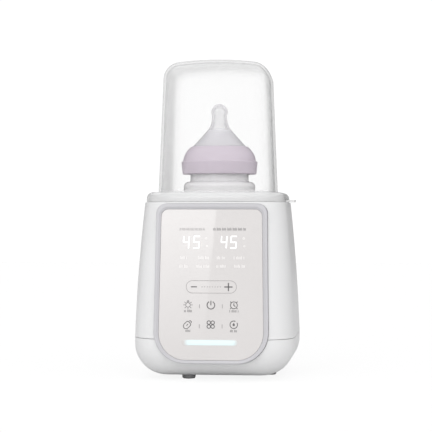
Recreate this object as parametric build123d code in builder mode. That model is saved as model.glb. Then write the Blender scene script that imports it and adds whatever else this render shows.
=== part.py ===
from build123d import *
import os

os.makedirs("parts", exist_ok=True)

# Bottle warmer, in millimetres. Origin on the pot's axis at the floor, +Z up,
# the touch panel faces -Y and the lid's finger tab points to +X.

# ---- driving dimensions -------------------------------------------------
gap = 0.3                 # clearance between pieces that only meet

half_seam = 66.0          # half width of the body at the seam
half_belly = 63.4         # half width at mid height
half_top = 58.6           # half width under the lid
corner_r = 29.0           # vertical corner radius of the body
floor_z = 3.3             # underside of the lower housing
seam_z, seam_gap = 34.3, 0.4   # joint between the two housings
belly_z = 88.0
top_z = 145.3             # deck that carries the lid
wall = 2.5
bowl_r = 26.0             # rounding between the walls and the underside
half_lip, lip_t, lip_z = 63.0, 1.4, 37.8

foot_r, foot_h, foot_circle = 5.5, 5.2, 42.8
post, post_r = 34.0, 4.0  # housing posts and their screws
post_z = 19.8             # where upper and lower posts meet

panel_tilt = 3.9          # the panel leans back with the front wall
panel_y, panel_z = -63.8, 78.6
glass_low_w, glass_high_w, glass_h = 85.8, 82.0, 122.0
glass_low_r, glass_high_r = 22.0, 6.0
glass_t = 1.8
band, band_low, band_high = 4.0, 2.7, 4.6
bezel_proud, bezel_depth = 0.7, 9.3
board_w, board_h, board_t = 90.0, 112.0, 1.6

pot_r, pot_wall, pot_floor = 39.5, 1.5, 51.5
flange_r, flange_t, seal_t = 47.0, 1.6, 0.8
pot_under = pot_floor - 2.0
heater_r, heater_t = 26.0, 8.0

basket_r, basket_wall, basket_top = 33.0, 1.4, 118.0
bottle_r, bottle_floor = 30.25, 58.4
shoulder_z, neck_r, neck_top = 162.8, 24.65, 186.0
collar_r, collar_z, rim_top, collar_top = 32.3, 169.2, 180.0, 192.6
teat_r, teat_neck_r, teat_bulb_r, teat_top = 22.3, 6.35, 6.9, 228.8

brim_half, brim_z, brim_top = 57.4, top_z + gap, 153.6
dome_low, dome_high, dome_r, dome_top = 47.5, 43.3, 17.0, 265.2
crown_r, dome_edge_r = 270.0, 14.5
lid_wall = 2.0
tab_tip, tab_w, tab_t = 64.3, 22.0, 1.7

supply_z, supply_top = 14.0, 15.6   # power board, underside and top face
inlet_z, inlet_face = 23.4, 68.79

panel = Plane(
    origin=(0, panel_y, panel_z),
    x_dir=(1, 0, 0),
    z_dir=Vector(0, -1, 0).rotate(Axis.X, -panel_tilt),
)

# Keys on the panel, in the panel's own plane: minus and plus, then two rows.
key_spots = [(-13.8, -1.8), (14.1, -1.8)]
key_spots += [(x, y) for y in (-16.6, -32.2) for x in (-18.6, 0, 18.6)]

# ---- panel outlines -----------------------------------------------------
# Glass and bezel share one outline, a little wider at the bottom than at the
# top, with two large lower corners and two small upper ones.
with BuildSketch() as glass_outline:
    with BuildLine():
        Polyline(
            (-glass_low_w / 2, -glass_h / 2),
            (glass_low_w / 2, -glass_h / 2),
            (glass_high_w / 2, glass_h / 2),
            (-glass_high_w / 2, glass_h / 2),
            close=True,
        )
    make_face()
    fillet(glass_outline.vertices().group_by(Axis.Y)[0], glass_low_r)
    fillet(glass_outline.vertices().group_by(Axis.Y)[-1], glass_high_r)

with BuildSketch() as bezel_outline:
    with BuildLine():
        Polyline(
            (-glass_low_w / 2 - band, -glass_h / 2 - band_low),
            (glass_low_w / 2 + band, -glass_h / 2 - band_low),
            (glass_high_w / 2 + band, glass_h / 2 + band_high),
            (-glass_high_w / 2 - band, glass_h / 2 + band_high),
            close=True,
        )
    make_face()
    fillet(bezel_outline.vertices().group_by(Axis.Y)[0], glass_low_r + 3.4)
    fillet(bezel_outline.vertices().group_by(Axis.Y)[-1], 8.0)

# ---- upper housing ------------------------------------------------------
# One white moulding: four gently curved walls, a deck with the round hole the
# pot hangs in, and four long posts for the screws that come up from below.
with BuildPart() as upper_housing:
    for inset, mode in ((0.0, Mode.ADD), (wall, Mode.SUBTRACT)):
        low, high = (seam_z + seam_gap / 2, top_z) if inset == 0 else (seam_z - 1, top_z - wall)
        for z, half in ((low, half_seam), (belly_z, half_belly), (high, half_top)):
            with BuildSketch(Plane.XY.offset(z)):
                RectangleRounded(2 * (half - inset), 2 * (half - inset), corner_r - inset)
        loft(mode=mode)
        if inset == 0:
            fillet(upper_housing.faces().sort_by(Axis.Z)[-1].edges(), 1.0)
    with BuildSketch(Plane.XY.offset(post_z)):
        with GridLocations(2 * post, 2 * post, 2, 2):
            Circle(post_r)
    extrude(amount=top_z - wall - post_z + 0.5)
    with BuildSketch(Plane.XY.offset(post_z)):
        with GridLocations(2 * post, 2 * post, 2, 2):
            Circle(1.4)
    extrude(amount=14, mode=Mode.SUBTRACT)
    with BuildSketch(Plane.XY.offset(top_z)):
        Circle(pot_r + pot_wall + 1.0)
    extrude(amount=-2 * wall, mode=Mode.SUBTRACT)
    with BuildSketch(panel.offset(4)):
        add(bezel_outline.sketch)
        offset(amount=0.2)
    extrude(amount=-18, mode=Mode.SUBTRACT)

# ---- lower housing ------------------------------------------------------
# The bowl under the seam, with a lip that centres the upper housing, pads for
# the feet, posts for the screws, four standoffs for the power board and a flat
# surround for the supply inlet.
with BuildPart() as bowl_core:
    with BuildSketch(Plane.XY.offset(floor_z + wall)):
        RectangleRounded(2 * (half_seam - wall), 2 * (half_seam - wall), corner_r - wall)
    extrude(amount=seam_z - floor_z)
    fillet(bowl_core.faces().sort_by(Axis.Z)[0].edges(), bowl_r - wall)

with BuildPart() as lower_housing:
    with BuildSketch(Plane.XY.offset(floor_z)):
        RectangleRounded(2 * half_seam, 2 * half_seam, corner_r)
    extrude(amount=seam_z - seam_gap / 2 - floor_z)
    fillet(lower_housing.faces().sort_by(Axis.Z)[0].edges(), bowl_r)
    with BuildSketch(Plane.XZ.offset(-inlet_face)):
        with Locations((0, inlet_z)):
            RectangleRounded(26, 15, 3)
    extrude(amount=14)
    add(bowl_core.part, mode=Mode.SUBTRACT)
    for low, high, half in ((27.5, seam_z - seam_gap / 2, half_seam - 2.0), (seam_z - 0.5, lip_z, half_lip)):
        with BuildSketch(Plane.XY.offset(low)):
            RectangleRounded(2 * half, 2 * half, corner_r - half_seam + half)
            RectangleRounded(
                2 * (half_lip - lip_t), 2 * (half_lip - lip_t),
                corner_r - half_seam + half_lip - lip_t, mode=Mode.SUBTRACT,
            )
        extrude(amount=high - low)
    with BuildSketch(Plane.XY.offset(floor_z + 0.8)):
        with PolarLocations(foot_circle, 3):
            Circle(foot_r + wall)
    extrude(amount=5.4)
    with BuildSketch(Plane.XY.offset(floor_z + 0.8)):
        with GridLocations(2 * post, 2 * post, 2, 2):
            Circle(post_r + 0.5)
    extrude(amount=post_z - gap - floor_z - 0.8)
    with BuildSketch(Plane.XY.offset(floor_z + 1)):
        with GridLocations(46, 46, 2, 2):
            Circle(3)
    extrude(amount=supply_z - floor_z - 1)
    with BuildSketch(Plane.XY.offset(supply_z)):
        with GridLocations(46, 46, 2, 2):
            Circle(1.1)
    extrude(amount=-7, mode=Mode.SUBTRACT)
    with BuildSketch(Plane.XY):
        with PolarLocations(foot_circle, 3):
            Circle(foot_r + 0.05)
    extrude(amount=foot_h + 0.1, mode=Mode.SUBTRACT)
    with BuildSketch(Plane.XY):
        with GridLocations(2 * post, 2 * post, 2, 2):
            Circle(3.6)
    extrude(amount=9.0, mode=Mode.SUBTRACT)
    with BuildSketch(Plane.XY):
        with GridLocations(2 * post, 2 * post, 2, 2):
            Circle(1.9)
    extrude(amount=post_z, mode=Mode.SUBTRACT)
    with BuildSketch(panel.offset(4)):
        add(bezel_outline.sketch)
        offset(amount=0.2)
    extrude(amount=-18, mode=Mode.SUBTRACT)
    with BuildSketch(Plane.XZ.offset(-inlet_face)):
        with Locations((0, inlet_z)):
            RectangleRounded(20.4, 10.4, 2)
    extrude(amount=20, mode=Mode.SUBTRACT)

# ---- rubber feet --------------------------------------------------------
# Three grey plugs pressed into pads in the underside.
with BuildPart() as rubber_feet:
    with BuildSketch():
        with PolarLocations(foot_circle, 3):
            Circle(foot_r)
    extrude(amount=foot_h)
    fillet(rubber_feet.edges().group_by(Axis.Z)[0], 1.4)

# ---- housing screws -----------------------------------------------------
with BuildPart() as housing_screws:
    with BuildSketch(Plane.XY.offset(6.2)):
        with GridLocations(2 * post, 2 * post, 2, 2):
            Circle(3.3)
    extrude(amount=2.75)
    with BuildSketch(Plane.XY.offset(8.9)):
        with GridLocations(2 * post, 2 * post, 2, 2):
            Circle(1.35)
    extrude(amount=20)
    with BuildSketch(Plane.XY.offset(6.2)):
        with GridLocations(2 * post, 2 * post, 2, 2):
            Rectangle(4.4, 0.9)
            Rectangle(0.9, 4.4)
    extrude(amount=1.6, mode=Mode.SUBTRACT)

# ---- panel bezel --------------------------------------------------------
# Deep frame let into both housings. Its mouth slopes in to the glass, which
# lies on a ledge 3 mm wide.
with BuildPart() as panel_bezel:
    with BuildSketch(panel.offset(bezel_proud)):
        add(bezel_outline.sketch)
    extrude(amount=-bezel_proud - bezel_depth)
    fillet(panel_bezel.faces().sort_by(Axis(panel.origin, panel.z_dir))[-1].edges(), 0.6)
    with BuildSketch(panel.offset(-glass_t - 0.2)):
        add(glass_outline.sketch)
        offset(amount=0.1)
    extrude(amount=8, mode=Mode.SUBTRACT)
    with BuildSketch(panel):
        add(glass_outline.sketch)
        offset(amount=0.1)
    extrude(amount=bezel_proud + 0.01, taper=-70, mode=Mode.SUBTRACT)
    with BuildSketch(panel.offset(1)):
        add(glass_outline.sketch)
        offset(amount=-3.0)
    extrude(amount=-20, mode=Mode.SUBTRACT)
    with BuildSketch(panel.offset(-bezel_depth)):
        with GridLocations(board_w - 5, 88, 2, 2):
            Circle(0.95)
    extrude(amount=6, mode=Mode.SUBTRACT)

# ---- touch glass --------------------------------------------------------
# One pane, back-printed, bonded to the bezel's ledge.
with BuildPart() as touch_glass:
    with BuildSketch(panel):
        add(glass_outline.sketch)
    extrude(amount=-glass_t)
    chamfer(touch_glass.faces().sort_by(Axis(panel.origin, panel.z_dir))[-1].edges(), 0.25)

# ---- control board and what it carries ----------------------------------
board = panel.offset(-bezel_depth - 0.05)
with BuildPart() as control_board:
    with BuildSketch(board):
        RectangleRounded(board_w, board_h, 8)
        with GridLocations(board_w - 5, 88, 2, 2):
            Circle(1.2, mode=Mode.SUBTRACT)
    extrude(amount=-board_t)

with BuildPart() as board_screws:
    with BuildSketch(board.offset(-board_t)):
        with GridLocations(board_w - 5, 88, 2, 2):
            Circle(2.0)
    extrude(amount=-1.4)
    with BuildSketch(board.offset(-board_t - 0.05)):
        with GridLocations(board_w - 5, 88, 2, 2):
            Circle(0.9)
    extrude(amount=6.4)

# Two digit modules stand on the board behind the upper half of the glass.
with BuildPart() as digit_modules:
    with BuildSketch(board.offset(0.05)):
        with Locations((-13.0, 34.2), (17.5, 34.2)):
            Rectangle(27, 17)
    extrude(amount=6.4)

# Sprung contacts, one under each key, carry the touch signal to the board.
with BuildPart() as touch_springs:
    for x, y in key_spots:
        spot = board.offset(0.3).shift_origin(board.offset(0.3).from_local_coords((x, y, 0)))
        with BuildLine(spot) as coil:
            Helix(pitch=1.9, height=6.2, radius=2.6, direction=panel.z_dir)
        with BuildSketch(Plane(coil.line @ 0, z_dir=coil.line % 0)):
            Circle(0.28)
        sweep(path=coil.line)

# Light bar: a clear guide under the glass with four small lamps behind it.
with BuildPart() as light_guide:
    with BuildSketch(panel.offset(-glass_t - 0.3)):
        with Locations((0.1, -46.8)):
            RectangleRounded(42.3, 4.9, 2.2)
    extrude(amount=-5.6)

with BuildPart() as board_lamps:
    with BuildSketch(board.offset(0.05)):
        with Locations((0.1, -46.8)):
            with GridLocations(10.5, 1, 4, 1):
                Rectangle(3.4, 2.8)
    extrude(amount=0.9)

# ---- pot ----------------------------------------------------------------
# Pressed aluminium well that holds the water; its rolled flange rests on a
# silicone ring, and two studs under it carry the heater clamp.
with BuildPart() as heating_pot:
    with BuildSketch(Plane.XY.offset(pot_under)):
        Circle(pot_r + pot_wall)
    extrude(amount=top_z + seal_t + flange_t - pot_under)
    fillet(heating_pot.edges().group_by(Axis.Z)[0], 6)
    with BuildSketch(Plane.XY.offset(top_z + seal_t)):
        Circle(flange_r)
    extrude(amount=flange_t)
    fillet(heating_pot.edges().group_by(Axis.Z)[-1], 0.7)
    with BuildSketch(Plane.XY.offset(pot_floor + 5)):
        Circle(pot_r)
    extrude(amount=120, mode=Mode.SUBTRACT)
    with BuildSketch(Plane.XY.offset(pot_floor)):
        Circle(pot_r - 5)
    extrude(amount=5, taper=-44.9, mode=Mode.SUBTRACT)
    with BuildSketch(Plane.XY.offset(pot_under + 0.5)):
        with GridLocations(62, 1, 2, 1):
            Circle(3)
    extrude(amount=-9.5)
    with BuildSketch(Plane.XY.offset(pot_under - 9)):
        with GridLocations(62, 1, 2, 1):
            Circle(1.2)
    extrude(amount=6, mode=Mode.SUBTRACT)

with BuildPart() as pot_seal:
    with BuildSketch(Plane.XY.offset(top_z)):
        Circle(flange_r - 0.6)
        Circle(pot_r + pot_wall + 1.2, mode=Mode.SUBTRACT)
    extrude(amount=seal_t)

with BuildPart() as insulation_sleeve:
    with BuildSketch(Plane.XY.offset(58)):
        Circle(pot_r + pot_wall + 2.4)
        Circle(pot_r + pot_wall + 0.05, mode=Mode.SUBTRACT)
    extrude(amount=80)

# ---- heater -------------------------------------------------------------
# Aluminium block with the heating element cast in, clamped to the pot.
with BuildPart() as heater_block:
    with BuildSketch(Plane.XY.offset(pot_under)):
        Circle(heater_r)
    extrude(amount=-heater_t)
    chamfer(heater_block.edges().group_by(Axis.Z)[0], 1.0)
    with BuildSketch(Plane.XY.offset(pot_under)):
        with Locations((0, 15)):
            Circle(3.0)
    extrude(amount=-heater_t, mode=Mode.SUBTRACT)
    with BuildSketch(Plane.XY.offset(pot_under - heater_t)):
        with GridLocations(1, 34, 1, 2):
            with Locations((-12, 0)):
                Rectangle(3, 0.8)
    extrude(amount=-5)

with BuildPart() as heater_clamp:
    with BuildSketch(Plane.XY.offset(pot_under - 9.0)):
        SlotOverall(72, 10)
        with GridLocations(62, 1, 2, 1):
            Circle(1.6, mode=Mode.SUBTRACT)
    extrude(amount=-1.6)
    with BuildSketch(Plane.XY.offset(pot_under - 9.0)):
        Rectangle(40, 10)
    extrude(amount=0.95)

with BuildPart() as clamp_screws:
    with BuildSketch(Plane.XY.offset(pot_under - 10.6)):
        with GridLocations(62, 1, 2, 1):
            Circle(2.4)
    extrude(amount=-1.8)
    with BuildSketch(Plane.XY.offset(pot_under - 10.7)):
        with GridLocations(62, 1, 2, 1):
            Circle(1.15)
    extrude(amount=6.5)

with BuildPart() as temperature_sensor:
    with BuildSketch(Plane.XY.offset(pot_under)):
        with Locations((0, 15)):
            Circle(2.9)
    extrude(amount=-11)
    fillet(temperature_sensor.edges().group_by(Axis.Z)[0], 0.8)

with BuildPart() as thermal_fuse:
    with BuildSketch(Plane.YZ.offset(-6)):
        with Locations((-13, pot_under - heater_t - 2.1)):
            Circle(2.0)
    extrude(amount=12)
    with BuildSketch(Plane.YZ.offset(-12)):
        with Locations((-13, pot_under - heater_t - 2.1)):
            Circle(0.5)
    extrude(amount=24)

# ---- supply side --------------------------------------------------------
with BuildPart() as power_board:
    with BuildSketch(Plane.XY.offset(supply_z)):
        RectangleRounded(54, 54, 3)
        with GridLocations(46, 46, 2, 2):
            Circle(1.4, mode=Mode.SUBTRACT)
    extrude(amount=supply_top - supply_z)

with BuildPart() as power_board_screws:
    with BuildSketch(Plane.XY.offset(supply_top)):
        with GridLocations(46, 46, 2, 2):
            Circle(2.4)
    extrude(amount=1.6)
    with BuildSketch(Plane.XY.offset(supply_top + 0.1)):
        with GridLocations(46, 46, 2, 2):
            Circle(1.05)
    extrude(amount=-7)

# Transformer, relay, two capacitors and the lead terminals on the board.
with BuildPart() as board_components:
    with BuildSketch(Plane.XY.offset(supply_top)):
        with Locations((-13, -6)):
            Rectangle(17, 15)
        with Locations((11, -9)):
            Rectangle(15, 10)
    extrude(amount=14)
    with BuildSketch(Plane.XY.offset(supply_top)):
        with Locations((7, 6), (-4, 8)):
            Circle(4)
    extrude(amount=12)
    with BuildSketch(Plane.XY.offset(supply_top)):
        with Locations((0, 22)):
            Rectangle(16, 7)
        with Locations((19, 9)):
            Rectangle(7, 16)
        with Locations((0, -22)):
            Rectangle(18, 5)
    extrude(amount=8)

# Figure-eight supply socket in the back wall, with two pins.
with BuildPart() as power_inlet:
    with BuildSketch(Plane.XZ.offset(-inlet_face)):
        with Locations((0, inlet_z)):
            RectangleRounded(20.3, 10.3, 1.95)
    extrude(amount=16)
    with BuildSketch(Plane.XZ.offset(-inlet_face)):
        with Locations((0, inlet_z)):
            SlotOverall(16.4, 8.0)
    extrude(amount=13, mode=Mode.SUBTRACT)
    with BuildSketch(Plane.XZ.offset(-inlet_face)):
        with Locations((-4.3, inlet_z), (4.3, inlet_z)):
            Circle(1.2)
    extrude(amount=16, mode=Mode.SUBTRACT)

with BuildPart() as inlet_pins:
    with BuildSketch(Plane.XZ.offset(-inlet_face + 3)):
        with Locations((-4.3, inlet_z), (4.3, inlet_z)):
            Circle(1.15)
    extrude(amount=16)
    fillet(inlet_pins.edges().group_by(Axis.Y)[-1], 0.6)

# ---- leads --------------------------------------------------------------
# Supply leads to the board, heater leads up to the block's tags, and the flat
# ribbon from the power board to the control board.
with BuildPart() as supply_leads:
    for x in (-4.3, 4.3):
        with BuildLine() as run:
            Spline(
                (x, inlet_face - 19.2, inlet_z),
                (x, 36, 26),
                (x, 22, supply_top + 8.2),
                tangents=((0, -1, 0), (0, 0, -1)),
            )
        with BuildSketch(Plane(run.line @ 0, z_dir=run.line % 0)):
            Circle(0.9)
        sweep(path=run.line)

with BuildPart() as heater_leads:
    for y in (-17, 17):
        with BuildLine() as run:
            Spline(
                (-12, y, pot_under - heater_t - 5.1),
                (0, y * 0.8 + 5, supply_top + 17),
                (19, y * 0.2 + 9, supply_top + 8.2),
                tangents=((0, 0, -1), (0, 0, -1)),
            )
        with BuildSketch(Plane(run.line @ 0, z_dir=run.line % 0)):
            Circle(0.9)
        sweep(path=run.line)

with BuildPart() as panel_ribbon:
    with BuildLine() as run:
        Spline(
            (0, -22, supply_top + 8.1),
            (0, -36, 34),
            (0, -50.6, 38),
            tangents=((0, 0, 1), (0, -1, 0)),
        )
    with BuildSketch(Plane(run.line @ 0, x_dir=(1, 0, 0), z_dir=run.line % 0)):
        Rectangle(14, 0.9)
    sweep(path=run.line)

# ---- lifting basket -----------------------------------------------------
# Open cage that stands in the water and carries the bottle; two strips rise
# from its rim and turn out over the pot's flange as handles.
with BuildPart() as lifting_basket:
    with BuildSketch(Plane.XY.offset(pot_floor + gap)):
        Circle(basket_r)
    extrude(amount=basket_top - pot_floor - gap)
    with BuildSketch(Plane.XY.offset(bottle_floor - gap)):
        Circle(basket_r - basket_wall)
    extrude(amount=80, mode=Mode.SUBTRACT)
    with BuildSketch(Plane.XY.offset(pot_floor + gap)):
        Circle(basket_r - basket_wall)
    extrude(amount=bottle_floor - gap - 2 - pot_floor - gap, mode=Mode.SUBTRACT)
    with BuildSketch(Plane.XY.offset(pot_floor)):
        with PolarLocations(18, 6):
            Circle(5)
        Circle(7)
    extrude(amount=10, mode=Mode.SUBTRACT)
    for turn in range(4):
        with BuildSketch(Plane.XZ.rotated((0, 0, 45 + 90 * turn))):
            with Locations((0, 87)):
                SlotOverall(46, 14, rotation=90)
        extrude(amount=60, mode=Mode.SUBTRACT)
    with BuildSketch(Plane.XY.offset(basket_top - 4)):
        with GridLocations(2 * basket_r - 3.0, 1, 2, 1):
            Rectangle(2.2, 16)
    extrude(amount=148.4 - basket_top + 5.4)
    with BuildSketch(Plane.XY.offset(148.3)):
        with GridLocations(2 * basket_r + 8.0, 1, 2, 1):
            RectangleRounded(13.2, 16, 2)
    extrude(amount=1.6)
    with BuildSketch(Plane.XY.offset(basket_top - 5)):
        Circle(basket_r - basket_wall)
    extrude(amount=5.5, mode=Mode.SUBTRACT)

# ---- bottle -------------------------------------------------------------
with BuildPart() as bottle:
    with BuildSketch(Plane.XY.offset(bottle_floor)):
        Circle(bottle_r)
    extrude(amount=shoulder_z - bottle_floor)
    fillet(bottle.edges().group_by(Axis.Z)[-1], 4.2)
    fillet(bottle.edges().group_by(Axis.Z)[0], 5)
    with BuildSketch(Plane.XY.offset(shoulder_z - 1)):
        Circle(neck_r)
    extrude(amount=neck_top - shoulder_z + 1)
    fillet(bottle.edges().filter_by_position(Axis.Z, shoulder_z - 0.1, shoulder_z + 0.1)
           .sort_by(SortBy.RADIUS)[0], 1.3)
    offset(amount=-1.6, openings=bottle.faces().sort_by(Axis.Z)[-1])
    with BuildSketch(Plane.XZ):
        with Locations((neck_r + 0.2, 174.5), (neck_r + 0.2, 179.5)):
            Circle(1.1)
    revolve(axis=Axis.Z)

# ---- bottle collar ------------------------------------------------------
# Screw ring: a slightly tapered rim below, domed shoulder above, open top.
with BuildPart() as bottle_collar:
    with BuildSketch(Plane.XZ):
        with BuildLine():
            Polyline(
                (collar_r - 5.9, 188.0),
                (collar_r - 5.9, collar_z),
                (collar_r - 1.5, collar_z),
                (collar_r - 1.0, collar_z + 0.5),
                (collar_r, rim_top - 0.7),
                (collar_r - 0.4, rim_top),
                (collar_r - 1.4, rim_top + 0.3),
            )
            ThreePointArc(
                (collar_r - 1.4, rim_top + 0.3), (28.2, 188.0), (teat_r + 1.6, collar_top)
            )
            Polyline(
                (teat_r + 1.6, collar_top),
                (teat_r + gap, collar_top - 1),
                (teat_r + gap, 188.0),
                (collar_r - 5.9, 188.0),
            )
        make_face()
    revolve(axis=Axis.Z)

# ---- teat ---------------------------------------------------------------
# Silicone teat held by its flange between the bottle's neck and the collar,
# with two small vent dimples in its cone.
with BuildPart() as bottle_teat:
    for thin, mode in ((0.0, Mode.ADD), (1.4, Mode.SUBTRACT)):
        base = 186.1 - thin
        with BuildSketch(Plane.XZ):
            with BuildLine():
                Polyline((0, base), (teat_r - thin, base), (teat_r - thin, 193.0 - thin))
                ThreePointArc(
                    (teat_r - thin, 193.0 - thin),
                    (13.8 - thin * 0.8, 202.4 - thin * 0.8),
                    (8.6 - thin, 208.5 - thin * 0.4),
                )
                ThreePointArc(
                    (8.6 - thin, 208.5 - thin * 0.4),
                    (7.05 - thin, 212.6),
                    (teat_neck_r - thin, 217.0),
                )
                Polyline(
                    (teat_neck_r - thin, 217.0),
                    (teat_neck_r - thin, teat_top - teat_bulb_r),
                    (0, teat_top - teat_bulb_r),
                    (0, base),
                )
            make_face()
        revolve(axis=Axis.Z, mode=mode)
        with Locations((0, 0, teat_top - teat_bulb_r)):
            Sphere(teat_bulb_r - thin, mode=mode)
    with BuildSketch(Plane.XY.offset(186.15)):
        Circle(26.0)
        Circle(teat_r - 1.4, mode=Mode.SUBTRACT)
    extrude(amount=1.6)
    for x, y in ((-7.6, -18.0), (11.5, -15.8)):
        with Locations((x, y, 196.8)):
            Sphere(0.9, mode=Mode.SUBTRACT)

# ---- lid ----------------------------------------------------------------
# Clear dust cover in one moulding: a tall dome, a brim that sits on the deck
# and a finger tab.
with BuildPart() as lid_core:
    with BuildSketch(Plane.XY.offset(brim_z)):
        RectangleRounded(2 * (brim_half - lid_wall), 2 * (brim_half - lid_wall), 26)
    extrude(amount=brim_top - lid_wall - brim_z)
    fillet(lid_core.faces().sort_by(Axis.Z)[-1].edges(), 3.0)
    for z, half in ((brim_top - lid_wall - 1, dome_low), (dome_top - lid_wall, dome_high)):
        with BuildSketch(Plane.XY.offset(z)):
            RectangleRounded(2 * (half - lid_wall), 2 * (half - lid_wall), dome_r - lid_wall)
    loft()
    with Locations((0, 0, dome_top - crown_r)):
        Sphere(crown_r - lid_wall, mode=Mode.INTERSECT)
    fillet(lid_core.faces().sort_by(Axis.Z)[-1].edges(), dome_edge_r - lid_wall)

with BuildPart() as lid:
    with BuildSketch(Plane.XY.offset(brim_z)):
        RectangleRounded(2 * brim_half, 2 * brim_half, 28)
    extrude(amount=brim_top - brim_z)
    fillet(lid.faces().sort_by(Axis.Z)[-1].edges(), 5.0)
    for z, half in ((brim_top - 0.5, dome_low), (dome_top, dome_high)):
        with BuildSketch(Plane.XY.offset(z)):
            RectangleRounded(2 * half, 2 * half, dome_r)
    loft()
    with Locations((0, 0, dome_top - crown_r)):
        Sphere(crown_r, mode=Mode.INTERSECT)
    fillet(lid.faces().sort_by(Axis.Z)[-1].edges(), dome_edge_r)
    with BuildSketch(Plane.XY.offset(brim_z)):
        with Locations((tab_tip - 6, 0)):
            RectangleRounded(12, tab_w, 3)
    extrude(amount=tab_t)
    add(lid_core.part, mode=Mode.SUBTRACT)

# ---- write out ----------------------------------------------------------
nodes = {
    "upper_housing": upper_housing,
    "lower_housing": lower_housing,
    "rubber_feet": rubber_feet,
    "housing_screws": housing_screws,
    "panel_bezel": panel_bezel,
    "touch_glass": touch_glass,
    "control_board": control_board,
    "board_screws": board_screws,
    "digit_modules": digit_modules,
    "touch_springs": touch_springs,
    "light_guide": light_guide,
    "board_lamps": board_lamps,
    "heating_pot": heating_pot,
    "pot_seal": pot_seal,
    "insulation_sleeve": insulation_sleeve,
    "heater_block": heater_block,
    "heater_clamp": heater_clamp,
    "clamp_screws": clamp_screws,
    "temperature_sensor": temperature_sensor,
    "thermal_fuse": thermal_fuse,
    "power_board": power_board,
    "power_board_screws": power_board_screws,
    "board_components": board_components,
    "power_inlet": power_inlet,
    "inlet_pins": inlet_pins,
    "supply_leads": supply_leads,
    "heater_leads": heater_leads,
    "panel_ribbon": panel_ribbon,
    "lifting_basket": lifting_basket,
    "bottle": bottle,
    "bottle_collar": bottle_collar,
    "bottle_teat": bottle_teat,
    "lid": lid,
}
for name, piece in nodes.items():
    piece.part.label = name
    export_step(piece.part, f"parts/{name}.step")
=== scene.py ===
from math import cos, radians, sin

import bmesh
import bpy
from mathutils import Matrix, Vector


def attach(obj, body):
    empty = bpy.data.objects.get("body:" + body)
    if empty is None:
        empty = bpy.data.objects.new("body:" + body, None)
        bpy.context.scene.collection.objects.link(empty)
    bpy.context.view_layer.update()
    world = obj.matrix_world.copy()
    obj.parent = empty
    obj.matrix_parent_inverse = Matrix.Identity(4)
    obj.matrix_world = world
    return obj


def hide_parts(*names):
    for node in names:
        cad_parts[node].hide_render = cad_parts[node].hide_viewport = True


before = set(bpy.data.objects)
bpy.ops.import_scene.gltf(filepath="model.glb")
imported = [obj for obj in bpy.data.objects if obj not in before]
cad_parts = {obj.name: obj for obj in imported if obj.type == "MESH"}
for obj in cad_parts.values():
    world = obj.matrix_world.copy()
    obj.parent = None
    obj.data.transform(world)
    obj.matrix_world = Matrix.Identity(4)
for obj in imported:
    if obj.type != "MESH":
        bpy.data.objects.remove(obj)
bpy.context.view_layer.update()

# ---- housings ------------------------------------------------------------
# Two white ABS mouldings, satin outside: the bowl the warmer stands on and
# the tall upper shell whose deck carries the pot. A lip centres them, and the
# thin seam between them runs right round.
mm = 0.001


def skin(name, light, dark, rough, grain=0.5 * mm, depth=0.001 * mm, spread=0.04, patch=18.0):
    """A solid finish: slow drift between two close tones, and a fine grain
    that moves the roughness and the surface a little."""
    material = bpy.data.materials.new(name)
    material.use_nodes = True
    tree = material.node_tree
    shader = tree.nodes["Principled BSDF"]
    place = tree.nodes.new("ShaderNodeTexCoord")
    drift = tree.nodes.new("ShaderNodeTexNoise")
    drift.inputs["Scale"].default_value = patch
    drift.inputs["Detail"].default_value = 3.0
    fine = tree.nodes.new("ShaderNodeTexNoise")
    fine.inputs["Scale"].default_value = 0.5 / grain
    fine.inputs["Detail"].default_value = 2.0
    tone = tree.nodes.new("ShaderNodeValToRGB")
    tone.color_ramp.elements[0].position = 0.3
    tone.color_ramp.elements[0].color = (*dark, 1)
    tone.color_ramp.elements[1].position = 0.7
    tone.color_ramp.elements[1].color = (*light, 1)
    gloss = tree.nodes.new("ShaderNodeMapRange")
    gloss.inputs["To Min"].default_value = rough - spread
    gloss.inputs["To Max"].default_value = rough + spread
    bump = tree.nodes.new("ShaderNodeBump")
    bump.inputs["Strength"].default_value = 1.0
    bump.inputs["Distance"].default_value = depth
    link = tree.links.new
    link(place.outputs["Object"], drift.inputs["Vector"])
    link(place.outputs["Object"], fine.inputs["Vector"])
    link(drift.outputs["Fac"], tone.inputs["Fac"])
    link(tone.outputs["Color"], shader.inputs["Base Color"])
    link(fine.outputs["Fac"], gloss.inputs["Value"])
    link(gloss.outputs["Result"], shader.inputs["Roughness"])
    link(fine.outputs["Fac"], bump.inputs["Height"])
    link(bump.outputs["Normal"], shader.inputs["Normal"])
    return material


def shader_of(material):
    return material.node_tree.nodes["Principled BSDF"]


def dress(material, *nodes):
    """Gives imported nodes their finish, in every slot they have."""
    for node in nodes:
        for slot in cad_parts[node].material_slots:
            slot.material = material


housing_white = skin("housing_white", (0.735, 0.735, 0.738), (0.715, 0.715, 0.72), 0.42,
                     grain=0.7 * mm, depth=0.0008 * mm)
shader_of(housing_white).inputs["Coat Weight"].default_value = 0.12
shader_of(housing_white).inputs["Coat Roughness"].default_value = 0.28
dress(housing_white, "upper_housing", "lower_housing")

# ---- feet and housing screws ---------------------------------------------
# Grey rubber plugs pressed into the underside, slightly dusty and soft in
# outline; zinc-plated pan screws sit deep in their holes beside them.
foot_rubber = skin("foot_rubber", (0.25, 0.25, 0.255), (0.19, 0.19, 0.195), 0.72,
                   grain=0.25 * mm, depth=0.02 * mm, patch=90.0)
dress(foot_rubber, "rubber_feet")


def metal(name, light, dark, rough, grain=0.3 * mm, depth=0.002 * mm, patch=120.0):
    finish = skin(name, light, dark, rough, grain, depth, patch=patch)
    shader_of(finish).inputs["Metallic"].default_value = 1.0
    return finish


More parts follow.
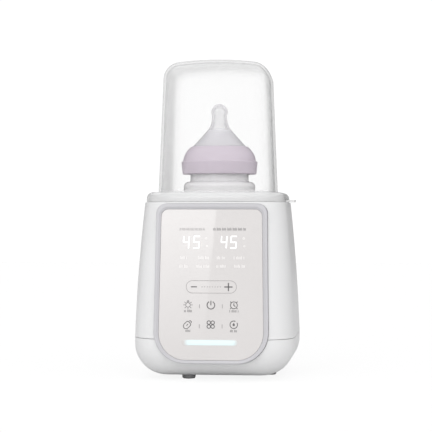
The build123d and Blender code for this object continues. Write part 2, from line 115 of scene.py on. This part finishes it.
screw_zinc = metal("screw_zinc", (0.66, 0.67, 0.70), (0.52, 0.53, 0.56), 0.32)
dress(screw_zinc, "housing_screws", "board_screws", "clamp_screws", "power_board_screws")

# ---- pot -----------------------------------------------------------------
# Spun aluminium well with a rolled flange, pearl-blasted inside. It hangs in
# the deck on a pale silicone ring, wrapped below in needled insulation felt.
pot_aluminium = metal("pot_aluminium", (0.80, 0.80, 0.81), (0.70, 0.70, 0.71), 0.38,
                      grain=0.22 * mm, depth=0.006 * mm, patch=40.0)
dress(pot_aluminium, "heating_pot")
seal_silicone = skin("seal_silicone", (0.74, 0.74, 0.73), (0.68, 0.68, 0.67), 0.55,
                     grain=0.4 * mm, depth=0.006 * mm)
dress(seal_silicone, "pot_seal")
sleeve_felt = skin("sleeve_felt", (0.62, 0.60, 0.54), (0.46, 0.45, 0.41), 0.95,
                   grain=0.35 * mm, depth=0.25 * mm, spread=0.03, patch=260.0)
shader_of(sleeve_felt).inputs["Sheen Weight"].default_value = 0.4
dress(sleeve_felt, "insulation_sleeve")

# ---- heater --------------------------------------------------------------
# Cast aluminium block with the element inside, pulled against the pot by a
# pressed steel bar; an epoxy-dipped sensor and a thermal fuse sit on it.
heater_cast = metal("heater_cast", (0.58, 0.58, 0.59), (0.42, 0.42, 0.43), 0.55,
                    grain=0.5 * mm, depth=0.03 * mm)
dress(heater_cast, "heater_block")
clamp_steel = metal("clamp_steel", (0.60, 0.61, 0.63), (0.50, 0.51, 0.53), 0.36)
dress(clamp_steel, "heater_clamp")
sensor_epoxy = skin("sensor_epoxy", (0.035, 0.035, 0.04), (0.02, 0.02, 0.022), 0.35)
dress(sensor_epoxy, "temperature_sensor")
fuse_enamel = skin("fuse_enamel", (0.62, 0.56, 0.40), (0.54, 0.48, 0.34), 0.4)
dress(fuse_enamel, "thermal_fuse")

# ---- boards, inlet and leads ---------------------------------------------
# Glass-epoxy boards with green solder resist, their parts, the figure-eight
# inlet with brass pins in the back wall, and the leads that join them.
solder_resist = skin("solder_resist", (0.015, 0.13, 0.055), (0.010, 0.085, 0.04), 0.34,
                     grain=0.6 * mm, depth=0.01 * mm, patch=160.0)
dress(solder_resist, "control_board", "power_board")
part_casings = skin("part_casings", (0.055, 0.055, 0.06), (0.03, 0.03, 0.034), 0.42)
dress(part_casings, "board_components")
inlet_nylon = skin("inlet_nylon", (0.030, 0.030, 0.032), (0.020, 0.020, 0.022), 0.5,
                   grain=0.3 * mm, depth=0.012 * mm)
dress(inlet_nylon, "power_inlet")
pin_brass = metal("pin_brass", (0.80, 0.68, 0.38), (0.70, 0.58, 0.30), 0.22)
dress(pin_brass, "inlet_pins")
lead_silicone = skin("lead_silicone", (0.62, 0.62, 0.60), (0.54, 0.54, 0.52), 0.6)
dress(lead_silicone, "supply_leads", "heater_leads")
ribbon_film = skin("ribbon_film", (0.55, 0.55, 0.57), (0.47, 0.47, 0.49), 0.4)
dress(ribbon_film, "panel_ribbon")

# ---- display parts behind the pane ----------------------------------------
# Pale digit modules, tinned key springs, a clear acrylic light guide and the
# small lamps that feed it, all soldered or clipped to the control board.
module_resin = skin("module_resin", (0.72, 0.72, 0.73), (0.66, 0.66, 0.67), 0.45)
dress(module_resin, "digit_modules")
spring_tin = metal("spring_tin", (0.74, 0.74, 0.76), (0.62, 0.62, 0.64), 0.2)
dress(spring_tin, "touch_springs")
guide_acrylic = skin("guide_acrylic", (0.78, 0.92, 0.96), (0.72, 0.88, 0.93), 0.3)
shader_of(guide_acrylic).inputs["Transmission Weight"].default_value = 0.4
dress(guide_acrylic, "light_guide")
lamp_resin = skin("lamp_resin", (0.90, 0.92, 0.80), (0.84, 0.86, 0.70), 0.3)
dress(lamp_resin, "board_lamps")

# ---- panel frame and pane -------------------------------------------------
# Satin lilac-grey frame let into both housings, with a mouth that slopes in
# to the pane: one piece of hardened glass, printed pale rose-grey behind.
bezel_lilac = skin("bezel_lilac", (0.50, 0.495, 0.515), (0.475, 0.47, 0.492), 0.30,
                   grain=0.4 * mm, depth=0.001 * mm)
dress(bezel_lilac, "panel_bezel")
pane_print = skin("pane_print", (0.58, 0.558, 0.552), (0.568, 0.546, 0.54), 0.30,
                  grain=2.0 * mm, depth=0.0002 * mm, spread=0.02)
shader_of(pane_print).inputs["Coat Weight"].default_value = 1.0
shader_of(pane_print).inputs["Coat Roughness"].default_value = 0.015
shader_of(pane_print).inputs["Coat IOR"].default_value = 1.52
dress(pane_print, "touch_glass")

# ---- key print -------------------------------------------------------------
# Grey ceramic ink on the pane: the adjuster with its minus, plus and dots, six
# key symbols, plain ticks where captions go and thin dividers between them.
lean, pane_y, pane_z = radians(3.9), -63.8 * mm, 78.6 * mm
ink_foot, ink_top = -0.02, 0.05


def on_panel(x, y, lift):
    """A point of the pane, x to the right and y up it, in millimetres."""
    out = Vector((0, -cos(lean), sin(lean)))
    up = Vector((0, sin(lean), cos(lean)))
    return Vector((x * mm, pane_y, pane_z)) + up * y * mm + out * lift * mm


def stroke(bm, path, width, ring=False):
    """A flat ribbon of ink along a path on the pane, mitred at its corners."""
    n, spine = len(path), [Vector(p) for p in path]
    rows = []
    for i, here in enumerate(spine):
        before = spine[i - 1] if i or ring else None
        after = spine[(i + 1) % n] if i < n - 1 or ring else None
        into = (here - before).normalized() if before is not None else None
        away = (after - here).normalized() if after is not None else None
        into, away = into or away, away or into
        along = (into + away).normalized()
        side = Vector((-along.y, along.x)) * width / 2 / max(0.5, along.dot(away))
        if not ring and i in (0, n - 1):
            here = here + along * width / 2 * (1 if i else -1)
        rows.append([
            bm.verts.new(on_panel(here.x + side.x * s, here.y + side.y * s, lift))
            for s, lift in ((-1, ink_foot), (-0.86, ink_top), (0.86, ink_top), (1, ink_foot))
        ])
    for a, b in zip(rows, rows[1:] + (rows[:1] if ring else [])):
        for k in range(4):
            bm.faces.new((a[k], a[(k + 1) % 4], b[(k + 1) % 4], b[k]))
    if not ring:
        bm.faces.new(rows[0])
        bm.faces.new(rows[-1][::-1])


def arc(x, y, r, start, end, steps=20):
    """Points along a round stroke, angles in degrees from the right."""
    span = [radians(start + (end - start) * i / steps) for i in range(steps + 1)]
    return [(x + r * cos(a), y + r * sin(a)) for a in span]


def circle(bm, x, y, r, width):
    stroke(bm, arc(x, y, r, 0, 350, 35), width, ring=True)


def dot(bm, x, y, r):
    rows = [
        [bm.verts.new(on_panel(px, py, lift)) for px, py in arc(x, y, q, 0, 345, 23)]
        for q, lift in ((r, ink_foot), (r * 0.9, ink_top))
    ]
    n = len(rows[0])
    for i in range(n):
        bm.faces.new((rows[0][i], rows[0][(i + 1) % n], rows[1][(i + 1) % n], rows[1][i]))
    bm.faces.new(rows[1])
    bm.faces.new(rows[0][::-1])


def caption(bm, x, y, length, height, width):
    """A row of short ticks with no meaning, a few of them taller or left out."""
    pitch = width * 2.0
    count = round(length / pitch)
    for i in range(count):
        left = x + (i - (count - 1) / 2) * pitch
        top = height * (0.5 if (i * 5 + count) % 3 else 0.78)
        if (i + count) % 6 != 4:
            stroke(bm, [(left, y - height * 0.5), (left, y + top)], width)


def finished(name, bm):
    """Closes a mesh off as an object, smooth but for edges sharper than 30 degrees."""
    bmesh.ops.recalc_face_normals(bm, faces=bm.faces)
    mesh = bpy.data.meshes.new(name)
    bm.to_mesh(mesh)
    bm.free()
    mesh.polygons.foreach_set("use_smooth", [True] * len(mesh.polygons))
    mesh.set_sharp_from_angle(angle=radians(30))
    piece = bpy.data.objects.new(name, mesh)
    bpy.context.scene.collection.objects.link(piece)
    return piece


def fit(piece, material, body, slot, *nodes):
    """Paints a piece, hangs it on its body and hides any imported nodes it replaces; the slot
    argument is not used.
    """
    piece.data.materials.append(material)
    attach(piece, body)
    if nodes:
        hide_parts(*nodes)


key_top, key_low, key_side = -16.6, -32.2, 18.6
faint, bold = bmesh.new(), bmesh.new()

pill_x, pill_y, pill_half, pill_r = 0.2, -1.9, 20.4, 5.0
stroke(faint, arc(pill_x + pill_half - pill_r, pill_y, pill_r, -90, 90)
       + arc(pill_x - pill_half + pill_r, pill_y, pill_r, 90, 270), 0.42, ring=True)
stroke(bold, [(-15.9, pill_y), (-11.9, pill_y)], 0.95)
stroke(bold, [(11.3, pill_y), (16.9, pill_y)], 1.05)
stroke(bold, [(14.1, pill_y - 2.8), (14.1, pill_y - 0.6)], 1.05)
stroke(bold, [(14.1, pill_y + 0.6), (14.1, pill_y + 2.8)], 1.05)
for i in range(8):
    dot(faint, -7.3 + 2.12 * i, pill_y, 0.42)

# lamp: a bulb with rays round it
lamp_y = key_top + 0.1
circle(bold, -key_side, lamp_y, 1.85, 0.55)
stroke(bold, [(-key_side - 0.8, lamp_y + 2.6), (-key_side + 0.8, lamp_y + 2.6)], 0.55)
stroke(bold, [(-key_side - 0.5, lamp_y + 3.5), (-key_side + 0.5, lamp_y + 3.5)], 0.5)
for angle in (180, 225, 270, 315, 0, 40, 140):
    a = radians(angle)
    stroke(bold, [(-key_side + q * cos(a), lamp_y + q * sin(a)) for q in (2.8, 3.5)], 0.5)

# power: an open circle and an upright bar
stroke(bold, arc(0, key_top, 3.1, 125, 415, 34), 0.85)
stroke(bold, [(0, key_top + 0.3), (0, key_top + 3.1)], 0.85)

# timer: a clock face with four ticks and two hands
circle(bold, key_side, key_top, 2.75, 0.7)
for angle in (45, 135, 225, 315):
    a = radians(angle)
    stroke(bold, [(key_side + q * cos(a), key_top + q * sin(a)) for q in (3.3, 3.9)], 0.7)
stroke(bold, [(key_side, key_top + 1.2), (key_side, key_top - 0.2),
              (key_side + 0.9, key_top - 0.8)], 0.8)

# bottle: a round-ended body lying at 45 degrees, with a cap and a short mark
tip = Matrix.Rotation(radians(-45), 2)
body_path = (arc(0, -1.3, 2.2, 180, 360, 12) + arc(0.9, 1.3, 1.3, 0, 90, 6)
             + arc(-0.9, 1.3, 1.3, 90, 180, 6))
for path, closed in (
    (body_path, True),
    ([(-1.0, 3.5), (-0.6, 4.2), (0.6, 4.2), (1.0, 3.5)], False),
    ([(0, -0.6), (0, 0.6)], False),
):
    moved = [tip @ Vector(p) + Vector((-key_side - 0.5, key_low - 0.4)) for p in path]
    stroke(bold, [(p.x, p.y) for p in moved], 0.62, ring=closed)

# functions: four small rings
for x in (-1.58, 1.58):
    for y in (-1.58, 1.58):
        circle(bold, x, key_low + y, 1.4, 0.75)

# feeding: a broken circle round a drop
stroke(bold, arc(key_side, key_low, 3.0, 70, 232, 22), 0.75)
stroke(bold, arc(key_side, key_low, 3.0, 250, 385, 22), 0.75)
dot(bold, key_side, key_low - 0.1, 1.05)
stroke(bold, [(key_side, key_low + 0.4), (key_side, key_low + 1.0)], 0.7)

for y in (key_top - 0.9, key_low - 1.4):
    for x in (-9.3, 9.2):
        stroke(faint, [(x, y - 1.3), (x, y + 1.3)], 0.6)
for x, y, length in (
    (-key_side, key_top - 4.9, 6.4), (key_side + 0.1, key_top - 4.9, 7.2),
    (-key_side, key_low - 5.2, 4.2), (key_side - 0.2, key_low - 5.2, 5.6),
):
    caption(bold, x, y, length, 1.3, 0.42)
caption(faint, -15.8, 44.6, 20.6, 1.4, 0.28)
caption(bold, 14.6, 44.6, 26.4, 1.5, 0.36)

ink_bold = skin("ink_bold", (0.13, 0.125, 0.127), (0.11, 0.105, 0.107), 0.45, grain=0.2 * mm)
ink_faint = skin("ink_faint", (0.32, 0.305, 0.305), (0.29, 0.275, 0.275), 0.45, grain=0.2 * mm)
fit(finished("key_print_bold", bold), ink_bold, "warmer", "panel_glass")
fit(finished("key_print_faint", faint), ink_faint, "warmer", "panel_glass")

# ---- lit display -----------------------------------------------------------
# What shines through the pane: two pairs of slanted digits with small rings
# beside them, two rows of four tick marks, and a cool light bar at the foot.
digit_h, digit_w, slant = 9.5, 4.4, 0.07
gap, reach = 0.06, 0.94
digits, captions = bmesh.new(), bmesh.new()


def segments(bm, x, y, bars):
    """Draws one slanted digit from its lit bars, named a to g from the top."""
    ends = {
        "a": ((-1, 1), (1, 1)), "b": ((1, 1), (1, 0)), "c": ((1, 0), (1, -1)),
        "d": ((-1, -1), (1, -1)), "f": ((-1, 1), (-1, 0)), "g": ((-1, 0), (1, 0)),
    }
    for bar in bars:
        (ax, ay), (bx, by) = ends[bar]
        path = [(x + px * digit_w / 2 + py * digit_h / 2 * slant, y + py * digit_h / 2)
                for px, py in ((ax * reach + bx * gap, ay * reach + by * gap),
                               (bx * reach + ax * gap, by * reach + ay * gap))]
        stroke(bm, path, 0.95)


for x in (-20.5, 10.2):
    segments(digits, x, 34.2, "fgbc")
for x in (-12.0, 18.0):
    segments(digits, x, 34.2, "afgcd")
for x in (-4.3, 26.2):
    circle(captions, x, 37.2, 0.7, 0.45)
    circle(captions, x + 0.6, 31.0, 0.6, 0.4)
for row, y in ((0, 21.4), (1, 14.6)):
    for x, length in ((-22.6, 6.5), (-7.0, 10.2), (7.9, 7.4), (22.5, 9.0)):
        caption(captions, x, y, length + row * 0.8, 1.5, 0.5)


def lit(name, colour, strength):
    """A finish that glows evenly in its own colour."""
    finish = skin(name, colour, colour, 0.4, grain=0.3 * mm)
    shader_of(finish).inputs["Emission Color"].default_value = (*colour, 1)
    shader_of(finish).inputs["Emission Strength"].default_value = strength
    return finish


digit_light = lit("digit_light", (0.9, 0.9, 0.9), 0.35)
fit(finished("lit_digits", digits), digit_light, "warmer", "lamp_white")
caption_light = lit("caption_light", (0.78, 0.76, 0.75), 0.06)
fit(finished("lit_captions", captions), caption_light, "warmer", "lamp_white")

bar = bmesh.new()
bar_x, bar_y, bar_half, bar_r, bar_slope = -0.8, -46.8, 22.6, 2.9, 0.25
bar_off = (0.60, 0.575, 0.567)
outline = (arc(bar_x + bar_half - bar_r, bar_y, bar_r, -90, 90, 12)
           + arc(bar_x - bar_half + bar_r, bar_y, bar_r, 90, 270, 12))
rows = [
    [bar.verts.new(on_panel(bar_x + (x - bar_x) * (1 - q / bar_half),
                            bar_y + (y - bar_y) * (1 - q / bar_r), lift))
     for x, y in outline]
    for q, lift in ((0, ink_foot), (bar_slope, ink_top))
]
for i in range(len(outline)):
    j = (i + 1) % len(outline)
    bar.faces.new((rows[0][i], rows[0][j], rows[1][j], rows[1][i]))
bar.faces.new(rows[1])
bar.faces.new(rows[0][::-1])
bar_glow = lit("bar_glow", (0.80, 0.97, 1.0), 0.0)
tree, shader = bar_glow.node_tree, shader_of(bar_glow)
place, split, off, wide, tall, ends, edge, light, power, tint = (tree.nodes.new(kind) for kind in (
    "ShaderNodeTexCoord", "ShaderNodeSeparateXYZ", "ShaderNodeMath", "ShaderNodeMath",
    "ShaderNodeMath", "ShaderNodeMapRange", "ShaderNodeMapRange", "ShaderNodeMath",
    "ShaderNodeMath", "ShaderNodeMixRGB"))
off.operation, wide.operation, tall.operation = "SUBTRACT", "ABSOLUTE", "ABSOLUTE"
off.inputs[1].default_value = pane_z + bar_y * mm * cos(lean)
for node, low, high in ((ends, 23.0 * mm, 17.0 * mm), (edge, 2.8 * mm, 1.2 * mm)):
    node.interpolation_type = "SMOOTHSTEP"
    node.inputs["From Min"].default_value, node.inputs["From Max"].default_value = low, high
light.operation, power.operation = "MULTIPLY", "MULTIPLY"
power.inputs[1].default_value = 0.10
tint.inputs[1].default_value = (*bar_off, 1)
tint.inputs[2].default_value = (0.66, 0.80, 0.82, 1)
for source, target in (
    (place.outputs["Object"], split.inputs["Vector"]), (split.outputs["X"], wide.inputs[0]),
    (split.outputs["Z"], off.inputs[0]), (off.outputs["Value"], tall.inputs[0]),
    (wide.outputs["Value"], ends.inputs["Value"]), (tall.outputs["Value"], edge.inputs["Value"]),
    (ends.outputs["Result"], light.inputs[0]), (edge.outputs["Result"], light.inputs[1]),
    (light.outputs["Value"], power.inputs[0]), (light.outputs["Value"], tint.inputs["Fac"]),
    (power.outputs["Value"], shader.inputs["Emission Strength"]),
    (tint.outputs["Color"], shader.inputs["Base Color"]),
):
    tree.links.new(source, target)
fit(finished("light_bar", bar), bar_glow, "warmer", "guide_clear")

# ---- lifting basket --------------------------------------------------------
# Satin polypropylene cage with two strips that hook over the pot's flange.
basket_white = skin("basket_white", (0.78, 0.78, 0.79), (0.74, 0.74, 0.75), 0.42,
                    grain=0.35 * mm, depth=0.008 * mm)
dress(basket_white, "lifting_basket")


def veil(name, colour, rough, least, most, power=2.0, tint=1.0, zone=None):
    """Clear plastic: seen through face-on, whiter and stronger edge-on. A zone
    (z from, z to, share) makes it cloudier towards its second height."""
    finish = skin(name, colour, [c * 0.97 for c in colour], rough, grain=0.9 * mm,
                  depth=0.0006 * mm, spread=0.03)
    tree, shader = finish.node_tree, shader_of(finish)
    new, link = tree.nodes.new, tree.links.new
    clear = new("ShaderNodeBsdfTransparent")
    clear.inputs["Color"].default_value = (tint, tint, tint, 1)
    slope = new("ShaderNodeLayerWeight")
    slope.inputs["Blend"].default_value = 0.5
    bend = new("ShaderNodeMath")
    bend.operation = "POWER"
    bend.inputs[1].default_value = power
    share = new("ShaderNodeMapRange")
    share.inputs["To Min"].default_value = least
    share.inputs["To Max"].default_value = most
    mix = new("ShaderNodeMixShader")
    link(slope.outputs["Facing"], bend.inputs[0])
    link(bend.outputs["Value"], share.inputs["Value"])
    link(clear.outputs["BSDF"], mix.inputs[1])
    link(shader.outputs["BSDF"], mix.inputs[2])
    link(mix.outputs["Shader"], tree.nodes["Material Output"].inputs["Surface"])
    if not zone:
        link(share.outputs["Result"], mix.inputs["Fac"])
        return finish
    place, split, cloud, most_of = (new("ShaderNodeTexCoord"), new("ShaderNodeSeparateXYZ"),
                                    new("ShaderNodeMapRange"), new("ShaderNodeMath"))
    for socket, value in zip(("From Min", "From Max", "To Min", "To Max"),
                             (zone[0], zone[1], 0.0, zone[2])):
        cloud.inputs[socket].default_value = value
    most_of.operation = "MAXIMUM"
    link(place.outputs["Object"], split.inputs["Vector"])
    link(split.outputs["Z"], cloud.inputs["Value"])
    link(cloud.outputs["Result"], most_of.inputs[0])
    link(share.outputs["Result"], most_of.inputs[1])
    link(most_of.outputs["Value"], mix.inputs["Fac"])
    return finish


# ---- feeding bottle --------------------------------------------------------
# Wide-neck bottle in milky, nearly opaque polypropylene, a lilac screw collar,
# and a soft, clearer silicone teat clamped under the collar.
bottle_clear = veil("bottle_clear", (0.97, 0.96, 0.97), 0.08, 0.85, 0.97)
dress(bottle_clear, "bottle")
collar_lilac = skin("collar_lilac", (0.63, 0.56, 0.63), (0.60, 0.53, 0.605), 0.34,
                    grain=0.4 * mm, depth=0.002 * mm)
dress(collar_lilac, "bottle_collar")
teat_silicone = veil("teat_silicone", (0.78, 0.765, 0.80), 0.22, 0.12, 0.92,
                     zone=(208.5 * mm, 206.0 * mm, 0.72))
dress(teat_silicone, "bottle_teat")

# ---- lid -------------------------------------------------------------------
# Dust lid moulded in clear styrene with a faint frost: tall dome, brim over
# the deck and a thin finger tab on the right.
lid_styrene = veil("lid_styrene", (0.80, 0.80, 0.803), 0.10, 0.022, 0.42, power=1.4,
                   tint=0.985, zone=(156.0 * mm, 152.5 * mm, 0.58))
dress(lid_styrene, "lid")

# ---- studio ----------------------------------------------------------------
# White sweep, soft light that is strongest from the front and weakest from
# below and the right, and a slanted light panel that lies in the pane.
def lamp_graph(material, *kinds):
    material.use_nodes = True
    tree = material.node_tree
    tree.nodes.clear()
    return tree, [tree.nodes.new(kind) for kind in kinds]


floor_plane = bmesh.new()
bmesh.ops.create_grid(floor_plane, x_segments=1, y_segments=1, size=3.0)
floor = finished("studio_floor", floor_plane)
sweep = bpy.data.materials.new("studio_white")
tree, (out, thin, matt, grey, is_seen, share) = lamp_graph(
    sweep, "ShaderNodeOutputMaterial", "ShaderNodeBsdfTransparent", "ShaderNodeBsdfDiffuse",
    "ShaderNodeMixShader", "ShaderNodeLightPath", "ShaderNodeMapRange",
)
share.inputs["To Min"].default_value, share.inputs["To Max"].default_value = 1.0, 0.16
matt.inputs["Color"].default_value = (0.79, 0.79, 0.79, 1)
tree.links.new(is_seen.outputs["Is Camera Ray"], share.inputs["Value"])
tree.links.new(share.outputs["Result"], grey.inputs["Fac"])
tree.links.new(thin.outputs["BSDF"], grey.inputs[1])
tree.links.new(matt.outputs["BSDF"], grey.inputs[2])
tree.links.new(grey.outputs["Shader"], out.inputs["Surface"])
floor.data.materials.append(sweep)

panel_low, panel_high, panel_far = 0.05, 1.0, -1.56
panel_plane = bmesh.new()
corners = []
for z in (panel_low, panel_high):
    edge_x = -0.164 + (z - 0.34) * 0.085
    for x in (edge_x - 0.5, edge_x):
        corners.append(panel_plane.verts.new((x, panel_far, z)))
panel_plane.faces.new([corners[i] for i in (1, 0, 2, 3)])
softbox = finished("studio_panel", panel_plane)
glow = bpy.data.materials.new("studio_panel")
tree, (out, emit, place, split, fade, thin, both) = lamp_graph(
    glow, "ShaderNodeOutputMaterial", "ShaderNodeEmission", "ShaderNodeTexCoord",
    "ShaderNodeSeparateXYZ", "ShaderNodeMapRange", "ShaderNodeBsdfTransparent",
    "ShaderNodeAddShader",
)
for socket, value in (("From Min", 0.09), ("From Max", 0.34), ("To Min", 0.0), ("To Max", 2.5)):
    fade.inputs[socket].default_value = value
tree.links.new(place.outputs["Object"], split.inputs["Vector"])
tree.links.new(split.outputs["Z"], fade.inputs["Value"])
tree.links.new(fade.outputs["Result"], emit.inputs["Strength"])
tree.links.new(emit.outputs["Emission"], both.inputs[0])
tree.links.new(thin.outputs["BSDF"], both.inputs[1])
tree.links.new(both.outputs["Shader"], out.inputs["Surface"])
softbox.data.materials.append(glow)
softbox.visible_camera = False

sky = bpy.data.worlds.new("studio_sky")
bpy.context.scene.world = sky
tree, (out, seen, lit_by, pick, is_seen, place, lean_in, front, side) = lamp_graph(
    sky, "ShaderNodeOutputWorld", "ShaderNodeBackground", "ShaderNodeBackground",
    "ShaderNodeMixShader", "ShaderNodeLightPath", "ShaderNodeTexCoord",
    "ShaderNodeVectorMath", "ShaderNodeMath", "ShaderNodeMath",
)
seen.inputs["Color"].default_value = lit_by.inputs["Color"].default_value = (1, 1, 1, 1)
seen.inputs["Strength"].default_value = 1.05
lean_in.operation = "DOT_PRODUCT"
lean_in.inputs[1].default_value = (0.07, -0.80, 0.44)
front.operation = "ADD"
front.inputs[1].default_value = 0.66
side.operation = "MAXIMUM"
side.inputs[1].default_value = 0.1
tree.links.new(place.outputs["Generated"], lean_in.inputs[0])
tree.links.new(lean_in.outputs["Value"], front.inputs[0])
tree.links.new(front.outputs["Value"], side.inputs[0])
tree.links.new(side.outputs["Value"], lit_by.inputs["Strength"])
tree.links.new(is_seen.outputs["Is Camera Ray"], pick.inputs["Fac"])
tree.links.new(lit_by.outputs["Background"], pick.inputs[1])
tree.links.new(seen.outputs["Background"], pick.inputs[2])
tree.links.new(pick.outputs["Shader"], out.inputs["Surface"])

# The camera stands a little to the right of the front, level with the deck.
around, distance, eye, aside = radians(6.3), 1.255, 133.9 * mm, 3.0 * mm
camera_data = bpy.data.cameras.new("camera")
camera_data.sensor_width, camera_data.lens = 36.0, 123.1
camera = bpy.data.objects.new("camera", camera_data)
bpy.context.scene.collection.objects.link(camera)
right = Vector((cos(around), sin(around), 0))
toward = Vector((sin(around), -cos(around), 0))
camera.matrix_world = Matrix((
    (right.x, 0, toward.x, (toward * distance - right * aside).x),
    (right.y, 0, toward.y, (toward * distance - right * aside).y),
    (0, 1, 0, eye),
    (0, 0, 0, 1),
))
bpy.context.scene.camera = camera
bpy.context.scene.view_settings.view_transform = "Standard"

bpy.context.view_layer.update()
